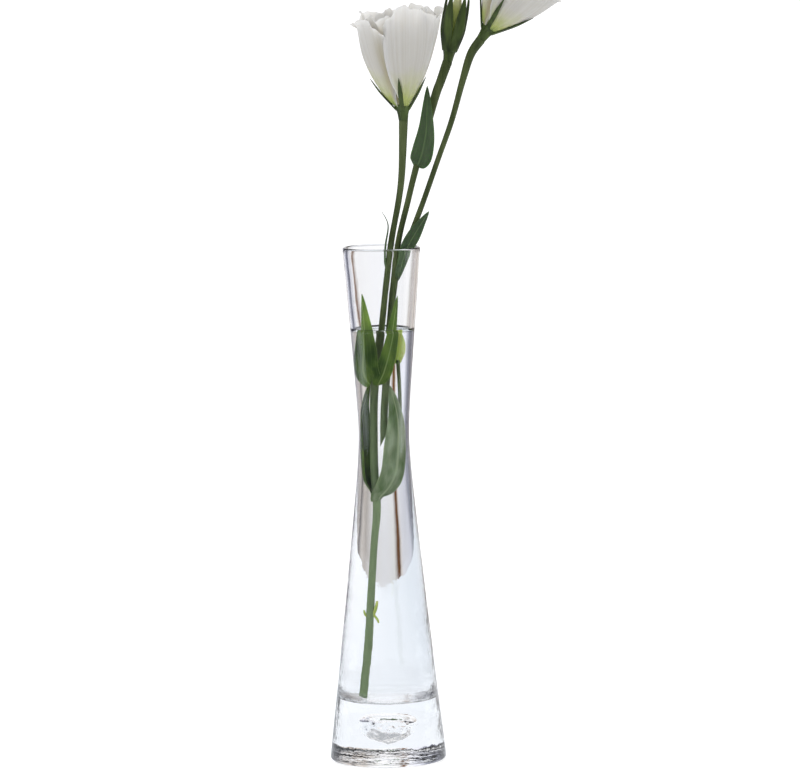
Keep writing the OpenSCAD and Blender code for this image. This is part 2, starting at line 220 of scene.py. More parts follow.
class Nodes:
    """Short ways to add nodes to a node tree and to join them."""

    def __init__(self, tree):
        self.tree = tree

    def feed(self, socket, source):
        """Joins a node's output to a socket, or gives the socket a plain value."""
        if isinstance(source, bpy.types.NodeSocket):
            self.tree.links.new(source, socket)
        elif isinstance(source, tuple) and socket.type == "RGBA":
            socket.default_value = (*source, 1)
        else:
            socket.default_value = source

    def add(self, kind, inputs=None, **settings):
        """A new node with its settings, and its inputs fed."""
        node = self.tree.nodes.new(kind)
        for key, value in settings.items():
            setattr(node, key, value)
        for key, source in (inputs or {}).items():
            self.feed(node.inputs[key], source)
        return node

    def math(self, operation, *values, clamp=False):
        """One step of arithmetic on one to three values."""
        node = self.add("ShaderNodeMath", dict(enumerate(values)), operation=operation,
                        use_clamp=clamp)
        return node.outputs[0]

    def scaled(self, colour, factor):
        """A colour made brighter or darker by a factor."""
        node = self.add("ShaderNodeVectorMath", {0: colour, "Scale": factor},
                        operation="SCALE")
        return node.outputs["Vector"]

    def spread(self, value, low, high, to_low=0.0, to_high=1.0):
        """The range low to high as to_low to to_high, held at both ends."""
        node = self.add("ShaderNodeMapRange", {
            "Value": value, "From Min": low, "From Max": high, "To Min": to_low,
            "To Max": to_high})
        return node.outputs["Result"]

    def mix(self, factor, a, b, blend="MIX"):
        """Colour a, turned into colour b by the factor."""
        node = self.add("ShaderNodeMix", data_type="RGBA", blend_type=blend)
        self.feed(node.inputs["Factor"], factor)
        for key, source in (("A", a), ("B", b)):
            socket = next(i for i in node.inputs if i.name == key and i.type == "RGBA")
            self.feed(socket, source)
        return next(o for o in node.outputs if o.type == "RGBA")

    def ramp(self, factor, stops):
        """A colour ramp with the given (place, colour) stops."""
        node = self.add("ShaderNodeValToRGB", {"Fac": factor})
        elements = node.color_ramp.elements
        while len(elements) < len(stops):
            elements.new(0.5)
        for element, (place, colour) in zip(elements, stops):
            element.position = place
            element.color = (*colour, 1)
        return node.outputs["Color"]

    def place(self, space="Object"):
        """X, Y and Z in the object's own space, or in another space."""
        node = self.add("ShaderNodeTexCoord")
        return self.add("ShaderNodeSeparateXYZ", {"Vector": node.outputs[space]}).outputs

    def attribute(self, name):
        """A value that the mesh holds at each point."""
        return self.add("ShaderNodeAttribute", attribute_name=name).outputs["Fac"]

    def noise(self, scale, detail, stretch=(1, 1, 1)):
        """Noise in the object's own space, in cycles per metre."""
        place = self.add("ShaderNodeTexCoord").outputs["Object"]
        mapping = self.add("ShaderNodeMapping", {"Vector": place, "Scale": stretch})
        node = self.add("ShaderNodeTexNoise", {
            "Vector": mapping.outputs["Vector"], "Scale": scale, "Detail": detail})
        return node.outputs["Fac"]

    def bump(self, height, strength, distance, under=None):
        """Bump from a height, laid over the bump under it if there is one."""
        node = self.add("ShaderNodeBump", {
            "Height": height, "Strength": strength, "Distance": distance})
        if under:
            self.feed(node.inputs["Normal"], under)
        return node.outputs["Normal"]


def new_material(name):
    """A material and the tools to build its node tree."""
    material = bpy.data.materials.new(name)
    material.use_nodes = True
    return material, Nodes(material.node_tree)


def set_shader(nodes, **looks):
    """Sets the Principled shader's inputs; a name's underscores stand for spaces."""
    shader = nodes.tree.nodes["Principled BSDF"]
    for key, source in looks.items():
        nodes.feed(shader.inputs[key.replace("_", " ")], source)


def clear_material(name, colour, ior, hand_made=False):
    """Clear glass or water. Hand-made glass waves faintly, more so low down, and is
    crumpled where the attribute says so: on its underside and round the bubble."""
    material, nodes = new_material(name)
    set_shader(nodes, Base_Color=colour, Roughness=0.0, IOR=ior, Transmission_Weight=1.0)
    if not hand_made:
        return material
    low_down = nodes.spread(nodes.place()["Z"], 0.110, 0.020, 0.0, 0.30)
    normal = None
    for strength, scale, stretch, distance in (
            (0.14, 55, (1, 1, 0.45), 0.001),
            (low_down, 190, (1, 1, 0.6), 0.0009),
            (nodes.attribute("crumple"), 95, (1, 1, 1), 0.0042)):
        normal = nodes.bump(nodes.noise(scale, 3.0, stretch), strength, distance, normal)
    set_shader(nodes, Normal=normal)
    return material


def plant_material(name, stops, scale, stretch, roughness, bump, subsurface=0.0,
                   painted_underwater_light=None):
    """Green tissue whose colour wanders between a few tones along its fibres. Given a
    paler colour as the last argument, its low end under the water turns to it: painted
    light, for the lighter look of the stem below the waterline."""
    material, nodes = new_material(name)
    skin = nodes.ramp(nodes.noise(scale, 5.0, stretch), stops)
    # painted light: paler below the waterline
    if painted_underwater_light:
        depth = nodes.spread(nodes.place()["Z"], 0.235, 0.135, 0.0, 0.8)
        skin = nodes.mix(depth, skin, painted_underwater_light)
    fibres = nodes.noise(900, 3.0, stretch)
    set_shader(nodes, Base_Color=skin, Roughness=roughness, Specular_IOR_Level=0.25,
               Subsurface_Weight=subsurface, Subsurface_Radius=(0.4, 1.0, 0.2),
               Subsurface_Scale=0.0015, Normal=nodes.bump(fibres, bump, 0.0004))
    return material


def leaf_material(name, upper, lower, vein, subsurface=0.15):
    """A leaf: darker above, paler below, with a light midrib, veins and margin."""
    material, nodes = new_material(name)
    across = nodes.attribute("across")
    tone = nodes.noise(160, 5.0, (1, 1, 0.35))
    above = nodes.ramp(tone, [(0.3, upper[0]), (0.7, upper[1])])
    below = nodes.ramp(tone, [(0.3, lower[0]), (0.7, lower[1])])
    skin = nodes.mix(nodes.attribute("upper"), below, above)
    # the midrib and the margin, and three weaker veins on each side of the midrib
    black = (0, 0, 0)
    midrib = nodes.ramp(nodes.math("ABSOLUTE", across), [
        (0.0, (1, 1, 1)), (0.05, (0.8, 0.8, 0.8)), (0.11, black), (0.95, black),
        (1.0, (0.9, 0.9, 0.9))])
    waves = nodes.math("COSINE", nodes.math("MULTIPLY", across, 2 * math.pi * VEINS))
    veins = nodes.ramp(waves, [(0.0, black), (0.86, black), (1.0, (0.22, 0.22, 0.22))])
    light = nodes.mix(1.0, midrib, veins, "LIGHTEN")
    skin = nodes.mix(nodes.math("MULTIPLY", light, 0.65), skin, vein)
    pores = nodes.noise(1400, 3.0, (1, 1, 0.5))
    set_shader(nodes, Base_Color=skin, Roughness=0.45, Specular_IOR_Level=0.12,
               Subsurface_Weight=subsurface, Subsurface_Radius=(0.5, 1.0, 0.2),
               Subsurface_Scale=0.0012, Normal=nodes.bump(pores, 0.22, 0.0003))
    return material


def petal_material(name):
    """White petal: yellow-green at its foot, fine ribs, light that soaks through."""
    material, nodes = new_material(name)
    patch = nodes.noise(140, 3.0, (1, 1, 0.4))
    height = nodes.math("MULTIPLY_ADD", patch, 0.34, nodes.attribute("along"))
    skin = nodes.ramp(height, [
        (0.16, (0.26, 0.35, 0.06)), (0.28, (0.44, 0.50, 0.14)),
        (0.40, (0.58, 0.575, 0.38)), (0.58, (0.61, 0.58, 0.515)),
        (1.0, (0.64, 0.615, 0.565))])
    ribs = nodes.add("ShaderNodeTexNoise", {
        "W": nodes.attribute("across"), "Scale": 15.0, "Detail": 3.0},
        noise_dimensions="1D").outputs["Fac"]
    streaks = nodes.ramp(ribs, [(0.30, (0.925, 0.91, 0.88)), (0.65, (1, 1, 1))])
    skin = nodes.mix(1.0, skin, streaks, "MULTIPLY")
    # painted shade: darker beside the fold under the front petal; paler along the margin
    skin = nodes.mix(nodes.attribute("crease_shade"), skin, (0.36, 0.31, 0.19))
    skin = nodes.mix(nodes.attribute("margin"), skin, (0.86, 0.85, 0.82))
    set_shader(nodes, Base_Color=skin, Roughness=0.62, Subsurface_Weight=0.5,
               Subsurface_Radius=(1.0, 0.9, 0.75), Subsurface_Scale=0.003,
               Sheen_Weight=0.15, Normal=nodes.bump(ribs, 0.35, 0.0006))
    return material


GLASS = clear_material("clear_glass", (0.99, 0.995, 1.0), 1.5, hand_made=True)
WATER = clear_material("water", (0.99, 0.995, 1.0), 1.333)
# stems: the paler colour of the part under the water is painted light
STEM = plant_material(
    "stem", [(0.25, (0.030, 0.046, 0.012)), (0.5, (0.058, 0.082, 0.025)),
             (0.75, (0.105, 0.135, 0.050))],
    scale=210, stretch=(1, 1, 0.12), roughness=0.5, bump=0.35,
    painted_underwater_light=(0.26, 0.36, 0.19))
STUB = plant_material(
    "stub", [(0.3, (0.38, 0.50, 0.08)), (0.7, (0.66, 0.74, 0.24))],
    scale=300, stretch=(1, 1, 0.6), roughness=0.5, bump=0.3, subsurface=0.2)
CALYX = plant_material(
    "calyx", [(0.3, (0.016, 0.028, 0.008)), (0.7, (0.075, 0.115, 0.030))],
    scale=260, stretch=(1, 1, 0.2), roughness=0.45, bump=0.3)
LEAF = leaf_material(
    "leaf", [(0.026, 0.058, 0.008), (0.098, 0.165, 0.022)],
    [(0.040, 0.082, 0.014), (0.140, 0.225, 0.042)], vein=(0.30, 0.40, 0.15))
PALE_LEAF = leaf_material(
    "pale_leaf", [(0.026, 0.058, 0.008), (0.098, 0.165, 0.022)],
    [(0.070, 0.130, 0.035), (0.400, 0.480, 0.330)], vein=(0.46, 0.55, 0.34))
# A darker copy of the leaf: painted shade for the rim bract, the rim leaf and the bud
# stalk leaf, which stand in shadow
PAINTED_SHADE_LEAF = leaf_material(
    "painted_shade_leaf", [(0.016, 0.036, 0.010), (0.040, 0.074, 0.022)],
    [(0.034, 0.058, 0.030), (0.078, 0.115, 0.060)], vein=(0.12, 0.18, 0.08))
YOUNG_LEAF = leaf_material(
    "young_leaf", [(0.24, 0.36, 0.03), (0.42, 0.54, 0.06)],
    [(0.34, 0.44, 0.09), (0.52, 0.60, 0.16)], vein=(0.62, 0.70, 0.28),
    subsurface=0.3)
PETAL = petal_material("petal")
PISTIL = plant_material(
    "pistil", [(0.3, (0.22, 0.33, 0.06)), (0.7, (0.42, 0.50, 0.14))],
    scale=500, stretch=(1, 1, 1), roughness=0.4, bump=0.2, subsurface=0.2)
ANTHER = plant_material(
    "anther", [(0.3, (0.55, 0.36, 0.05)), (0.7, (0.80, 0.60, 0.14))],
    scale=1500, stretch=(1, 1, 1), roughness=0.8, bump=0.5)


def finish_piece(piece, material, slot, *nodes):
    """Gives a piece its material, and hides the CAD nodes it stands for. slot is not
    used.
    """
    piece.data.materials.append(material)
    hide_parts(*nodes)


# ------------------------------------------------------------------ glass and water

def flare(distance, slope, soft):
    """How far the wall stands out at a distance from the waist, softly at first."""
    return math.hypot(slope * distance, soft) - soft


def outer_r(z):
    """Radius of the outer wall at height z."""
    if z < WAIST_Z:
        spread = FOOT_SPREAD * (1 - z / WAIST_Z) ** 2
        return WAIST_R + flare(WAIST_Z - z, LOWER_FLARE, LOWER_SOFT) + spread
    return WAIST_R + flare(z - WAIST_Z, UPPER_FLARE, UPPER_SOFT)


def inner_r(z):
    """Radius of the inner wall at height z."""
    return outer_r(z) - LIP_T - WALL_GAIN * (1 - z / VASE_H)


def arc(cx, cz, r, a0, a1, steps):
    """Points of an arc from angle a0 to a1, in degrees, ends included."""
    made = []
    for i in range(steps + 1):
        a = math.radians(a0 + (a1 - a0) * i / steps)
        made.append((cx + r * math.cos(a), cz + r * math.sin(a)))
    return made


def spaced(z0, z1, step):
    """Heights strictly between z0 and z1, about step apart."""
    count = max(1, round(abs(z1 - z0) / step))
    return [z0 + (z1 - z0) * i / count for i in range(1, count)]


def cavity_outline(extra):
    """Half outline of the cavity's floor and its rounded corner, from the axis
    outwards. extra is how far it stands out into the glass."""
    corner_z = FLOOR_Z + FLOOR_CORNER_R
    corner_x = inner_r(corner_z) - FLOOR_CORNER_R
    flat = [(corner_x * k / 6, FLOOR_Z - extra) for k in range(1, 6)]
    corner = arc(corner_x, corner_z, FLOOR_CORNER_R + extra, -90, 0, 10)
    return flat + corner


def vase_outline():
    """Half outline of the glass from the foot's middle, out, up, over and down inside."""
    lip_r = LIP_T / 2
    lip_z = VASE_H - lip_r
    foot_x = outer_r(FOOT_EDGE_R) - FOOT_EDGE_R
    foot = [(foot_x * k / 8, 0.0) for k in range(1, 8)]
    foot += arc(foot_x, FOOT_EDGE_R, FOOT_EDGE_R, -90, 0, 8)
    wall = [(outer_r(z), z) for z in spaced(FOOT_EDGE_R, lip_z, RING_STEP)]
    lip = arc(outer_r(lip_z) - lip_r, lip_z, lip_r, 0, 180, 14)
    low = FLOOR_Z + FLOOR_CORNER_R
    inside = [(inner_r(z), z) for z in spaced(lip_z, low, RING_STEP)]
    return foot + wall + lip + inside + cavity_outline(0)[::-1]


def bubble_outline():
    """Half outline of the trapped bubble, from its tip to its domed top."""
    low, top = [], []
    steps = 22
    for i in range(1, steps + 1):
        t = i / steps
        low.append((BUBBLE_R * (1 - (1 - t) ** 3),
                    BUBBLE_TIP_Z + (BUBBLE_WIDE_Z - BUBBLE_TIP_Z) * t))
    for i in range(1, 14):
        a = math.pi / 2 * i / 14
        top.append((BUBBLE_R * math.cos(a) ** 0.6,
                    BUBBLE_WIDE_Z + (BUBBLE_TOP_Z - BUBBLE_WIDE_Z) * math.sin(a)))
    return low + top


def revolve(outline, z_start, z_end, sides, shape):
    """Points and faces of an outline turned about Z, closed by a point at each end.
    shape(x, z, angle) gives a point's radius, for hand-made unevenness."""
    verts = [(0, 0, z_start)]
    for x, z in outline:
        for k in range(sides):
            a = 2 * math.pi * k / sides
            r = shape(x, z, a)
            verts.append((r * math.cos(a), r * math.sin(a), z))
    verts.append((0, 0, z_end))
    last = len(verts) - 1
    faces = [(0, 1 + (k + 1) % sides, 1 + k) for k in range(sides)]
    for i in range(len(outline) - 1):
        for k in range(sides):
            a, b = 1 + i * sides + k, 1 + i * sides + (k + 1) % sides
            faces.append((a, b, b + sides, a + sides))
    ring = last - sides
    faces += [(last, ring + k, ring + (k + 1) % sides) for k in range(sides)]
    return verts, faces


def hand_blown(x, z, a):
    """Faint unevenness of a mouth-blown wall: long waves up the vase and round it."""
    if z < FOOT_EDGE_R or z > VASE_H - LIP_T:
        return x
    soft = min(1.0, (z - FOOT_EDGE_R) / 10, (VASE_H - LIP_T - z) / 10)
    wave = noise.noise(Vector((2.2 * math.cos(a), 2.2 * math.sin(a), z / 26)))
    return x + 0.10 * soft * wave


def lumpy(x, z, a):
    """The bubble's slightly uneven skin."""
    low = min(1.0, (BUBBLE_TOP_Z - z) / 5)
    wave = noise.noise(Vector((1.7 * math.cos(a), 1.7 * math.sin(a), z / 5)))
    facet = noise.noise(Vector((4 * math.cos(a) + 9, 4 * math.sin(a), z / 2.5)))
    return x * (1 + low * (0.10 * wave + 0.09 * facet))


def make_vase():
    """The glass with its bubble, a closed skin inside it that faces the other way."""
    verts, faces = revolve(vase_outline(), 0, FLOOR_Z, VASE_SIDES, hand_blown)
    hollow, hollow_faces = revolve(bubble_outline(), BUBBLE_TIP_Z, BUBBLE_TOP_Z,
                                   BUBBLE_SIDES, lumpy)
    start = len(verts)
    verts += hollow
    faces += [tuple(start + k for k in reversed(face)) for face in hollow_faces]
    crumple = [1.0 if z < 0.1 or i >= start and z < BUBBLE_WIDE_Z else 0.0
               for i, (_, _, z) in enumerate(verts)]
    vase = mesh_piece("glass_vase", verts, faces, "vase", {"crumple": crumple})
    finish_piece(vase, GLASS, "clear_glass", "vase_glass")


def make_water():
    """The water: it wets the wall, and its surface climbs a little at the edge."""
    outline = cavity_outline(WATER_INTO_GLASS)
    low, rim = FLOOR_Z + FLOOR_CORNER_R, WATER_Z + MENISCUS
    outline += [(inner_r(z) + WATER_INTO_GLASS, z) for z in spaced(low, rim, RING_STEP)]
    edge = inner_r(rim)
    outline.append((edge + WATER_INTO_GLASS, rim))
    insets = [0.15 + 0.45 * k for k in range(8)]
    outline += [(edge - inset, WATER_Z + MENISCUS * math.exp(-inset / 0.8))
                for inset in insets]
    outline += [((edge - insets[-1]) * (5 - k) / 6, WATER_Z) for k in range(5)]

    def wetted(x, z, a):
        """Follows the glass where it touches it, and is level elsewhere."""
        return hand_blown(x, z, a) if x > inner_r(z) - 0.1 else x

    verts, faces = revolve(outline, FLOOR_Z - WATER_INTO_GLASS, WATER_Z, VASE_SIDES,
                           wetted)
    water = mesh_piece("water", verts, faces, "vase")
    water.data.materials.append(WATER)


# ------------------------------------------------------------------ stems and leaves

def stalk_points(route, sides, steps, seed, cut=0.0):
    """Rings of points along a route, with ridges and swellings, and how many rings
    there are. cut is how far the first ring leans, for a slanted cut end."""
    curve = smooth_curve(route, steps)
    path = [Vector(p[:3]) for p in curve]
    verts = []
    for i, point in enumerate(path):
        t = along(path, i)
        u = Vector((0, 1, 0)).cross(t).normalized()
        v = t.cross(u)
        for k in range(sides):
            a = 2 * math.pi * k / sides
            r = curve[i][3] * (1 + 0.035 * math.cos(4 * a + 0.6 * seed)
                               + 0.05 * wobble(seed, point.z + 2 * k / sides, 0.09))
            lean = -cut * math.cos(a) * max(0.0, 1 - i / 3)
            verts.append(point + r * (math.cos(a) * u + math.sin(a) * v) + t * lean)
    return verts, len(path)


def make_stalk(name, routes, body, material, slot, nodes, seed, cut=0.0, sides=20):
    """One piece made of one or more stalks."""
    verts, faces = [], []
    for n, route in enumerate(routes):
        ring, rows = stalk_points(route, sides, 10, seed + n, cut)
        faces += skin_faces(rows, sides, len(verts))
        verts += ring
    piece = mesh_piece(name, verts, faces, body)
    finish_piece(piece, material, slot, *nodes)


def leaf_share(s, widest, clasp):
    """Width of a blade at s, as a share of its greatest width."""
    if s < widest:
        return clasp + (1 - clasp) * math.sin(math.pi / 2 * s / widest)
    return 1 - ((s - widest) / (1 - widest)) ** 2


def blade_points(spine, half_w, roll, face, widest, clasp, seed, strips, wave,
                 steps=9, thick=0.34, rib=0.22):
    """Rings of points round a blade, upper side first, then the under side; what its
    material reads at each point; and the numbers of rings and of points in each."""
    curve = [Vector(p) for p in smooth_curve(spine, steps)]
    last = len(curve) - 1
    face = Vector(face)
    verts, across, upper = [], [], []
    for i, point in enumerate(curve):
        way = along(curve, i)
        side = way.cross(face).normalized()
        up = side.cross(way)
        s = i / last
        w = LEAF_END_W * (1 - s) + 0.06 + half_w * leaf_share(s, widest, clasp)
        for layer in (1, -1):
            for k in range(-strips, strips + 1):
                f = k / strips * layer
                a = w * f / roll
                edge = abs(f) ** 6
                thin = thick / 2 * (1 - 0.85 * edge) * min(1.0, w / 1.2 + 0.15)
                dent = rib * math.exp(-(w * f / 0.55) ** 2) * min(1.0, w / 2)
                veins = 0.035 * math.cos(2 * math.pi * VEINS * f) * min(1.0, w / 3)
                phase = 2.1 * seed + (0.9 if f > 0 else 0)
                ripple = wave * f * f * math.sin(7.5 * s + phase)
                lift = ripple - dent + veins + layer * thin
                r = roll - lift
                verts.append(point + side * (r * math.sin(a))
                             + up * (roll - r * math.cos(a)))
                across.append(f)
                upper.append(1.0 if layer > 0 else 0.0)
    return verts, {"across": across, "upper": upper}, last + 1, 2 * (2 * strips + 1)


def make_leaf(name, body, material=LEAF, slot="leaf_green"):
    """The blade of one leaf; a small one is flatter and needs fewer points."""
    facts = LEAVES[name]
    seed = sum(map(ord, name)) % 17
    small = facts["half_w"] < SMALL_LEAF_W
    verts, looks, rows, columns = blade_points(
        **facts, seed=seed, strips=5 if small else 9, wave=0.1 if small else 0.45)
    faces = [tuple(reversed(f)) for f in skin_faces(rows, columns)]
    piece = mesh_piece(name + "_blade", verts, faces, body, looks)
    finish_piece(piece, material, slot, name)


# --------------------------------------------------------------------------- blooms

def stand(flower):
    """The matrix, in millimetres, that puts a flower on its stalk."""
    return (Matrix.Translation(Vector(flower["base"]))
            @ Matrix.Rotation(math.radians(flower["lean"]), 4, "Y"))


def cup_r(h, flower, angle):
    """Radius of the cup of petals at height h above the petals' foot. The cup
    is fuller towards -x."""
    share = min(1.0, max(0.0, h / flower["cup_h"]))
    low = CALYX_RIM_R - 0.2
    belly = flower["belly"] * max(0.0, -math.cos(angle)) ** 2
    belly *= math.sin(math.pi * min(1.0, share + 0.12 * min(1.0, 10 * share)))
    return low + belly + (flower["mouth_r"] - low) * math.sin(math.pi / 2 * share) ** 0.87


def petal_points(flower, turn, half_angle, reach, inset, flop, seed):
    """One petal of the cup. turn is where its middle points, reach how tall it is,
    inset how far it stands inside the cup's skin, and flop how far its top leans
    and rolls outwards."""
    rows, strips, thick = 42, 26, 0.15
    rings, across, length, margin, crease_shade = [], [], [], [], []
    for i in range(rows + 1):
        s = i / rows
        frill = max(0.0, s - 0.5) / 0.5
        roll = max(0.0, s - 0.84) / 0.16
        for layer in (1, -1):
            for k in range(-strips, strips + 1):
                f = k / strips * layer
                crest = (1 - 0.15 * abs(f) ** 2.8 + 0.030 * math.sin(4.1 * f + 2.1 * seed)
                         + 0.018 * math.sin(9.7 * f + 3.7 * seed)
                         + 0.008 * math.sin(23 * f + 5.3 * seed))
                h = reach * s * crest
                span = half_angle * min(1.0, 0.62 + 1.3 * s) * (1 - 0.12 * s ** 3)
                angle = turn + f * span
                r = cup_r(h, flower, angle) - inset * min(1.0, 0.25 + h / 14)
                r -= 1.1 * abs(f) ** 3 * min(1.0, h / 12)
                r += flop * s ** 5 * (1 + 0.4 * math.sin(2.4 * f + 1.9 * seed))
                r += 1.6 * frill ** 1.8 * math.sin(5.2 * f + 2.2 * seed + s)
                r += 0.95 * frill ** 2.5 * math.sin(12.5 * f + 4.1 * seed)
                r += 0.40 * frill ** 5 * math.sin(27 * f + 2.9 * seed)
                r += 0.20 * math.cos(5 * math.pi * f) * math.exp(-((s - 0.25) / 0.3) ** 2)
                r += 0.45 * math.exp(-(f / 0.14) ** 2) * (1 - s) * min(1, 4 * s)
                curl = (0.7 + 0.9 * abs(flop)) * roll ** 2
                r += curl * (1 + 0.6 * math.sin(6 * f + seed))
                r += layer * thick * (1 - 0.7 * abs(f) ** 8) * (1 - 0.5 * roll)
                z = PETAL_FOOT - 0.6 + h - (0.8 + 0.9 * abs(flop)) * roll ** 2
                rings.append((r * math.cos(angle), r * math.sin(angle), z))
                across.append(0.8 * f + seed)
                length.append(min(1.0, h / flower["cup_h"]))
                margin.append(max(abs(f) ** 9, s ** 9))
                # painted shade: the petals under the front one are darker beside its edge
                off = math.degrees(angle) - flower["crease_shade"]
                crease_shade.append(math.exp(-(off / 10) ** 2) * (1 - s ** 4) if inset else 0.0)
    looks = {"across": across, "along": length, "margin": margin, "crease_shade": crease_shade}
    return rings, looks, rows + 1, 2 * (2 * strips + 1)


def make_petals(flower, name, body, node, petals):
    """Every petal of a bloom as its own piece, from the outside in."""
    place = stand(flower)
    for n, (turn, half_angle, reach, inset, flop) in enumerate(petals, 1):
        rings, looks, rows, columns = petal_points(
            flower, math.radians(turn), math.radians(half_angle), reach, inset, flop,
            1.37 * n)
        piece = mesh_piece(f"{name}_petal_{n}", [place @ Vector(p) for p in rings],
                           skin_faces(rows, columns), body, looks)
        finish_piece(piece, PETAL, "petal_white", node)


def make_calyx(flower, name, body, sepal_len, half_w, turn, radius_at):
    """The green cup under a flower and the narrow sepals that lie along it. name is
    also its CAD node, and radius_at(height, angle) the flower's outside."""
    place = stand(flower)
    profile = [(CALYX_FOOT_R - 0.3, -0.6), (CALYX_FOOT_R, 0.3), (CALYX_FOOT_R + 0.35, 3),
               (CALYX_RIM_R - 0.9, 5.5), (CALYX_RIM_R, CALYX_H),
               (CALYX_RIM_R - 0.3, CALYX_H + 0.5), (CALYX_RIM_R - 1.6, CALYX_H - 0.4)]
    rows = smooth_curve(profile, 5)
    sides = 40
    cup = []
    for r, z in rows:
        for k in range(sides):
            a = 2 * math.pi * k / sides
            ridge = 1 + 0.05 * math.cos(SEPALS * (a - math.radians(turn)))
            cup.append(place @ Vector((r * ridge * math.cos(a),
                                       r * ridge * math.sin(a), z)))
    piece = mesh_piece(name + "_cup", cup, skin_faces(len(rows), sides), body)
    finish_piece(piece, CALYX, "calyx_green", name)
    for n in range(SEPALS):
        a = math.radians(turn + 360 / SEPALS * n)
        out = Vector((math.cos(a), math.sin(a), 0))
        spine = [out * (CALYX_RIM_R - 0.9) + Vector((0, 0, CALYX_H - 2.6))]
        steps = 4
        for i in range(1, steps + 1):
            h = sepal_len * i / steps
            spine.append(out * (radius_at(h, a) + 0.75 + 0.5 * (i / steps) ** 2)
                         + Vector((0, 0, PETAL_FOOT + h)))
        verts, _, count, columns = blade_points(
            spine, half_w, 6.0, -out, 0.3, 0.7, n, strips=4, wave=0.12, steps=7,
            thick=0.9, rib=-0.15)
        faces = [tuple(reversed(f)) for f in skin_faces(count, columns)]
        piece = mesh_piece(f"{name}_sepal_{n + 1}", [place @ v for v in verts], faces,
                           body)
        finish_piece(piece, CALYX, "calyx_green", name)


def ball(centre, radii, way, sides=16, rings=10):
    """Rings of points of an ellipsoid whose third radius lies along way, and the
    numbers of rings and of points in each."""
    turn = way.to_track_quat("Z", "Y")
    rows = []
    for i in range(rings + 1):
        p = math.pi * (0.02 + 0.96 * i / rings)
        for k in range(sides):
            a = 2 * math.pi * k / sides
            local = Vector((radii[0] * math.sin(p) * math.cos(a),
                            radii[1] * math.sin(p) * math.sin(a),
                            -radii[2] * math.cos(p)))
            rows.append(centre + turn @ local)
    return rows, rings + 1, sides


def make_middle(flower, name, body, pistil_node, stamen_node):
    """The ovary with its style and two-lobed stigma, and five stamens round it."""
    place = stand(flower)
    base = PETAL_FOOT + CUP_FLOOR
    profile = smooth_curve([(0.6, 0), (2.2, 0.1), (3, 3), (2.7, 7), (1.1, 10), (0.85, 12),
                            (0.95, 14), (0.3, 14.6)], 5)
    sides = 28
    verts = [place @ Vector((r * math.cos(2 * math.pi * k / sides),
                             r * math.sin(2 * math.pi * k / sides), base + z))
             for r, z in profile for k in range(sides)]
    faces = skin_faces(len(profile), sides)
    for s in (-1, 1):
        rows, count, columns = ball(Vector((1.2 * s, 0, base + 14.6)), (1.2, 1.7, 1.1),
                                    Vector((0.3 * s, 0, 1)))
        faces += skin_faces(count, columns, len(verts))
        verts += [place @ p for p in rows]
    finish_piece(mesh_piece(name + "_pistil_body", verts, faces, body),
                 PISTIL, "pistil_green", pistil_node)
    verts, faces = [], []
    for n in range(5):
        a = math.radians(36 + 72 * n)
        out = Vector((math.cos(a), math.sin(a), 0))
        route = [(*(out * (4 + 1.8 * t) + Vector((0, 0, base + 0.6 + 11 * t))),
                  0.38 - 0.1 * t) for t in (0, 0.33, 0.66, 1)]
        ring, rows = stalk_points(route, 10, 5, n)
        faces += skin_faces(rows, 10, len(verts))
        verts += [place @ p for p in ring]
        rows_b, count, columns = ball(out * 5.9 + Vector((0, 0, base + 12.2)),
                                      (0.9, 0.75, 2.0), out * 0.3 + Vector((0, 0, 1)))
        faces += skin_faces(count, columns, len(verts))
        verts += [place @ p for p in rows_b]
    finish_piece(mesh_piece(name + "_stamen_ring", verts, faces, body),
                 ANTHER, "anther_yellow", stamen_node)


def make_bud():
    """A closed bud: petals wound into a spiral cone."""
    place = stand(BUD)
    sides, rows = 60, 60
    verts, across, length = [], [], []
    for i in range(rows + 1):
        t = i / rows
        r = 0.25 + 2.4 * (1 - t) ** 1.2 + (BUD_R - 2) * math.sin(math.pi * t ** 0.8)
        for k in range(sides):
            a = 2 * math.pi * k / sides
            wound = (a * 5 / (2 * math.pi) + 2.6 * t) % 1.0
            fold = r * (1 + 0.13 * (wound ** 1.5 - 0.4) * min(1, 4 * t))
            verts.append(place @ Vector((fold * math.cos(a), fold * math.sin(a),
                                         PETAL_FOOT - 0.4 + BUD_LEN * t)))
            across.append(wound)
            length.append(0.2 * t)
    piece = mesh_piece("bud_wound_petals", verts, skin_faces(rows + 1, sides),
                       "short_spray", {"across": across, "along": length})
    finish_piece(piece, PETAL, "petal_white", "bud_petals")


# ---------------------------------------------------------------------- the object

make_vase()
make_water()

make_stalk("long_stem_body", [LONG_ROUTE], "long_spray", STEM, "stem_green",
           ["long_stem"], seed=1, cut=0.8)
make_stalk("side_shoot_body", [SIDE_SHOOT_ROUTE], "long_spray", STEM, "stem_green",
           ["side_shoot"], seed=3, sides=14)
make_stalk("stem_stub_group", STUB_ROUTES, "long_spray", STUB, "young_green",
           ["stem_stubs"], seed=5, sides=12)
make_stalk("short_stem_body", [SHORT_ROUTE], "short_spray", STEM, "stem_green",
           ["short_stem"], seed=8, cut=-4.0)
make_stalk("bloom_stalk_body", [BLOOM_STALK_ROUTE], "short_spray", STEM, "stem_green",
           ["bloom_stalk"], seed=9)

for leaf_name in ("lower_leaf_left", "upper_leaf_left", "upper_leaf_right"):
    make_leaf(leaf_name, "long_spray")
make_leaf("lower_leaf_right", "long_spray", PALE_LEAF)
make_leaf("rim_bract", "long_spray", PAINTED_SHADE_LEAF)
make_leaf("side_shoot_leaf", "long_spray", YOUNG_LEAF, "young_green")
make_leaf("rim_leaf", "short_spray", PAINTED_SHADE_LEAF)
make_leaf("bud_stalk_leaf", "short_spray", PAINTED_SHADE_LEAF)

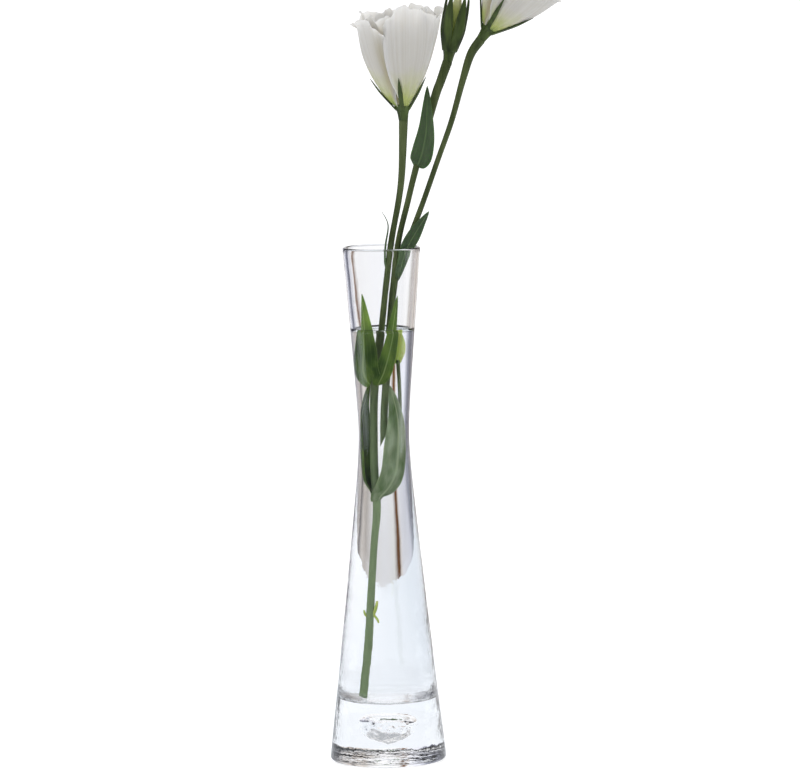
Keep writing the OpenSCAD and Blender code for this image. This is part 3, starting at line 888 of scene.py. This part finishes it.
# Petals: where each points, its half angle, height, inset and outward flop
make_petals(LEFT_BLOOM, "left", "long_spray", "left_petals", [
    (-70, 50, 54, 0.0, -0.4), (-164, 58, 48, 1.0, 0.9), (10, 52, 51, 1.3, -0.2),
    (124, 52, 53, 1.6, 1.2), (64, 50, 53, 2.2, 0.4), (-120, 48, 51, 3.6, 1.0),
    (-32, 46, 52, 4.0, -0.6), (34, 46, 50, 4.4, 0.2), (104, 46, 51, 4.6, 0.2),
    (176, 46, 48, 4.2, 1.6), (-80, 42, 46, 6.8, -0.4), (0, 42, 46, 7.0, -0.4),
    (90, 42, 47, 7.2, -0.2), (180, 42, 45, 7.0, 0.2),
])
make_petals(RIGHT_BLOOM, "right", "short_spray", "right_petals", [
    (-66, 60, 43, 0.0, 1.0), (-158, 54, 40, 1.0, 1.4), (4, 54, 42, 1.3, 2.0),
    (122, 52, 42, 1.6, 1.2), (60, 50, 42, 2.2, 1.6), (-114, 48, 41, 3.6, 0.6),
    (-30, 46, 41, 4.0, 1.0), (38, 46, 40, 4.4, 1.0), (106, 46, 41, 4.6, 0.4),
    (178, 46, 39, 4.2, 0.8), (-80, 42, 37, 6.8, 0.0), (0, 42, 37, 7.0, 0.2),
    (90, 42, 37, 7.2, 0.0), (180, 42, 36, 7.0, 0.0),
])
make_calyx(LEFT_BLOOM, "left_calyx", "long_spray", sepal_len=15, half_w=1.0, turn=-96,
           radius_at=lambda h, a: cup_r(h, LEFT_BLOOM, a))
make_calyx(RIGHT_BLOOM, "right_calyx", "short_spray", sepal_len=18, half_w=1.0,
           turn=-100, radius_at=lambda h, a: cup_r(h, RIGHT_BLOOM, a))
make_calyx(BUD, "bud_calyx", "short_spray", sepal_len=28, half_w=3.4, turn=-126,
           radius_at=lambda h, a: 4.6 + 1.1 * math.sin(math.pi * min(1, h / 30)))
make_middle(LEFT_BLOOM, "left", "long_spray", "left_pistil", "left_stamens")
make_middle(RIGHT_BLOOM, "right", "short_spray", "right_pistil", "right_stamens")
make_bud()


# ----------------------------------------------------------------- floor and light

def stage_plane(name, half, z):
    """A level square that belongs to the set, not to the object."""
    mesh = bpy.data.meshes.new(name)
    corners = [(-half, -half, 0), (half, -half, 0), (half, half, 0), (-half, half, 0)]
    mesh.from_pydata(corners, [], [(0, 1, 2, 3)])
    plane = bpy.data.objects.new(name, mesh)
    bpy.context.scene.collection.objects.link(plane)
    plane.location.z = z
    return plane


def glow(name, colour, strength, base=(0, 0, 0)):
    """A matt material that also gives out light of its own."""
    material, nodes = new_material(name)
    set_shader(nodes, Base_Color=base, Roughness=1.0, Specular_IOR_Level=0.0,
               Emission_Color=colour, Emission_Strength=strength)
    return material, nodes


def make_floor():
    """A pale floor for the camera, and a smaller bluish table top that only the
    glass sees, with the room beyond its edge."""
    floor = stage_plane("floor", 60.0, -0.0003)
    floor.visible_transmission = False
    floor.visible_glossy = False
    material, _ = glow("pale_floor", (1, 1, 1), 0.42, (0.86, 0.86, 0.87))
    floor.data.materials.append(material)
    table = stage_plane("table_top", 1.0, -0.0006)
    table.scale = (3.0, 0.3, 1.0)
    table.location.y = 0.14
    table.visible_camera = False
    table.visible_diffuse = False
    table.visible_shadow = False
    material, nodes = glow("table_top", (1, 1, 1), 1.2)
    # paler to the right, and dimmer right under the foot: a painted contact shadow of the
    # vase
    tones = nodes.ramp(nodes.spread(nodes.place()["X"], -1.0, 1.0), [
        (0.48, (0.74, 0.785, 0.84)), (0.53, (0.94, 0.95, 0.975))])
    spot = nodes.add("ShaderNodeNewGeometry").outputs["Position"]
    reach = nodes.add("ShaderNodeVectorMath", {0: spot}, operation="LENGTH")
    painted_contact_shadow = nodes.spread(reach.outputs["Value"], 0.016, 0.034, 0.5)
    set_shader(nodes, Emission_Color=nodes.scaled(tones, painted_contact_shadow))
    table.data.materials.append(material)


def make_light(name, place, aim, size, watts):
    """A soft rectangular light that the glass doesn't show."""
    data = bpy.data.lights.new(name, "AREA")
    data.shape = "RECTANGLE"
    data.size, data.size_y = size
    data.energy = watts
    light = bpy.data.objects.new(name, data)
    bpy.context.scene.collection.objects.link(light)
    light.location = place
    light.rotation_mode = "QUATERNION"
    light.rotation_quaternion = (Vector(aim) - Vector(place)).to_track_quat("-Z", "Y")
    light.visible_camera = False
    light.visible_transmission = False


# The room that the glass bends into view: degrees from straight behind the vase,
# minus to the left, and the colour there
ROOM = [
    (-180, (0.05, 0.05, 0.06)), (-120, (0.07, 0.07, 0.08)), (-80, (0.06, 0.06, 0.07)),
    (-58, (0.06, 0.06, 0.08)), (-49, (0.34, 0.35, 0.42)), (-40, (0.08, 0.08, 0.11)),
    (-30, (0.30, 0.31, 0.38)), (-24, (0.82, 0.83, 0.92)), (-13.5, (0.92, 0.92, 0.97)),
    (-12.4, (0.84, 0.76, 0.70)), (-11.8, (0.15, 0.065, 0.02)), (-8.8, (0.17, 0.07, 0.02)),
    (-8.2, (0.94, 0.93, 0.93)), (0, (0.97, 0.97, 1.0)), (10, (0.93, 0.92, 0.92)),
    (18, (0.58, 0.53, 0.49)), (23, (0.74, 0.68, 0.63)), (28, (0.12, 0.10, 0.10)),
    (31, (0.60, 0.54, 0.50)), (44, (0.62, 0.59, 0.58)), (58, (0.08, 0.07, 0.08)),
    (80, (0.05, 0.05, 0.06)), (120, (0.07, 0.07, 0.08)), (180, (0.05, 0.05, 0.06)),
]
ROOM_STRENGTH = 1.12


def make_world():
    """White for the camera; for everything else a room that is pale with dark streaks
    behind the vase, dark at its sides and front, and bright overhead."""
    world = bpy.data.worlds.new("studio")
    bpy.context.scene.world = world
    world.use_nodes = True
    nodes = Nodes(world.node_tree)
    path = nodes.add("ShaderNodeLightPath").outputs
    way = nodes.place("Generated")
    turn = nodes.math("ARCTAN2", way["X"], way["Y"])
    walls = nodes.ramp(nodes.spread(turn, -math.pi, math.pi),
                       [((degrees + 180) / 360, colour) for degrees, colour in ROOM])
    # the walls darken towards the far edge of the table
    walls = nodes.scaled(walls, nodes.spread(way["Z"], -0.25, -0.15, 0.66))
    # the sides and the front turn pale where they are seen straight through the glass
    straight = nodes.math("SUBTRACT", path["Is Transmission Ray"], path["Glossy Depth"],
                          clamp=True)
    front = nodes.spread(way["Y"], 0.25, -0.05)
    walls = nodes.mix(nodes.math("MULTIPLY", front, straight), walls, (0.84, 0.84, 0.87))
    room = nodes.mix(nodes.spread(way["Z"], 0.45, 0.75), walls, (1.0, 1.0, 1.02))
    # light that bounces off matt pieces meets an even soft light, stronger from
    # above, and stronger again where it comes out of the glass
    soft = nodes.spread(way["Z"], -0.2, 1.0, 0.55, 0.85)
    inside = nodes.math("GREATER_THAN", path["Transmission Depth"], 0.5)
    even = nodes.math("MULTIPLY", soft, nodes.math("MULTIPLY_ADD", inside, 1.8, 1.0))
    bounced = nodes.math("GREATER_THAN", path["Diffuse Depth"], 0.5)
    light = nodes.mix(bounced, room, even)
    seen = nodes.mix(path["Is Camera Ray"], light, (1, 1, 1))
    back = nodes.tree.nodes["Background"]
    nodes.feed(back.inputs["Color"], seen)
    nodes.feed(back.inputs["Strength"], ROOM_STRENGTH)


make_floor()
make_world()
make_light("key", place=(-1.2, -1.4, 1.6), aim=(0, 0, 0.3), size=(0.9, 0.9), watts=5)


# -------------------------------------------------------------------------- camera

CAMERA_FAR = 2.98
CAMERA_HIGH = 0.524
CAMERA_LENS = 248.9
AIM = Vector((0.00906, 0.0, 0.20283))
ROLL = -0.793

camera_data = bpy.data.cameras.new("camera")
camera_data.sensor_width = 36.0
camera_data.lens = CAMERA_LENS
camera = bpy.data.objects.new("camera", camera_data)
bpy.context.scene.collection.objects.link(camera)
camera.location = (AIM.x, -CAMERA_FAR, CAMERA_HIGH)
camera.rotation_mode = "QUATERNION"
look = (AIM - camera.location).to_track_quat("-Z", "Y")
camera.rotation_quaternion = look @ Quaternion((0, 0, 1), math.radians(ROLL))
camera_data.clip_end = 200.0
bpy.context.scene.camera = camera

scene = bpy.context.scene
scene.view_settings.view_transform = "Standard"
scene.cycles.transmission_bounces = 24
scene.cycles.max_bounces = 28
scene.cycles.transparent_max_bounces = 16
